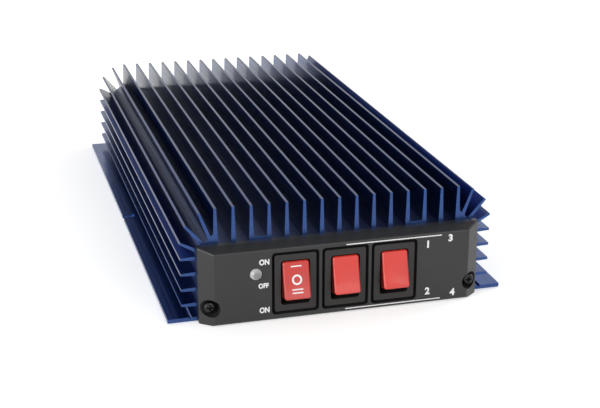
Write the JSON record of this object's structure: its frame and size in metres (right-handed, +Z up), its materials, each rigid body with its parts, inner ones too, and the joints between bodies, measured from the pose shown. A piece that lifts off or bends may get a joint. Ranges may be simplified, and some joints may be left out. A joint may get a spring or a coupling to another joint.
{
  "type": "hf linear amplifier",
  "caption": "Low finned rectangular amplifier for mobile radio: extruded heat-sink housing, moulded end panels, rocker switches, indicator lamp and rear coaxial sockets.",
  "frame": {"origin": "middle of the base plate's underside", "axes": "+X along the front panel to its right end seen from the front, +Y from the front panel to the rear panel, +Z up through the fins"},
  "size_m": [0.17, 0.3327, 0.056],
  "materials": {
    "blue_anodised": "satin",
    "black_moulding": "fine texture",
    "black_screw": "black oxide",
    "steel_screw": "zinc plated",
    "switch_moulding": "satin",
    "rocker_moulding": "polished",
    "tinned_brass": "tinned",
    "lens": "clear",
    "nickel": "nickel plated",
    "dielectric": "plain",
    "gold_contact": "plated",
    "black_rubber": "matt",
    "board": "solder mask",
    "transistor": "ceramic",
    "ferrite": "matt",
    "tube_brass": "plain",
    "end_plate": "laminate",
    "relay_case": "satin",
    "can_sleeve": "shrink sleeve",
    "mica": "dipped",
    "fuse_body": "translucent"
  },
  "bodies": {
    "root": {"heatsink_body": "blue_anodised", "base_plate": "blue_anodised", "base_screws": "steel_screw", "front_panel": "black_moulding", "rear_panel": "black_moulding", "front_panel_screws": "black_screw", "rear_panel_screws": "black_screw", "power_switch_housing": "switch_moulding", "power_switch_terminals": "tinned_brass", "mode_switch_housing": "switch_moulding", "mode_switch_terminals": "tinned_brass", "level_switch_housing": "switch_moulding", "level_switch_terminals": "tinned_brass", "led_lens": "lens", "led_leads": "tinned_brass", "antenna_socket_shell": "nickel", "antenna_socket_insulator": "dielectric", "antenna_socket_contact": "gold_contact", "antenna_socket_nut": "nickel", "radio_socket_shell": "nickel", "radio_socket_insulator": "dielectric", "radio_socket_contact": "gold_contact", "radio_socket_nut": "nickel", "cable_gland": "black_rubber", "circuit_board": "board", "power_transistors": "transistor", "transistor_screws": "steel_screw", "output_transformer_cores": "ferrite", "output_transformer_tubes": "tube_brass", "output_transformer_end_plates": "end_plate", "input_transformer_core": "ferrite", "input_transformer_tubes": "tube_brass", "relays": "relay_case", "electrolytic_capacitors": "can_sleeve", "supply_choke": "ferrite", "mica_capacitors": "mica", "fuse_holders": "switch_moulding", "blade_fuses": "fuse_body"},
    "power_rocker": {"power_rocker": "rocker_moulding"},
    "mode_rocker": {"mode_rocker": "rocker_moulding"},
    "level_rocker": {"level_rocker": "rocker_moulding"}
  },
  "joints": [
    {"name": "power_rocker_hinge", "type": "hinge", "parent": "root", "child": "power_rocker", "pos_m": [-0.0243, -0.152, 0.01849], "axis": [1, 0, 0], "range_deg": [0, 32]},
    {"name": "mode_rocker_hinge", "type": "hinge", "parent": "root", "child": "mode_rocker", "pos_m": [0.0005, -0.152, 0.01849], "axis": [1, 0, 0], "range_deg": [0, 32]},
    {"name": "level_rocker_hinge", "type": "hinge", "parent": "root", "child": "level_rocker", "pos_m": [0.0253, -0.152, 0.01849], "axis": [1, 0, 0], "range_deg": [0, 32]}
  ]
}
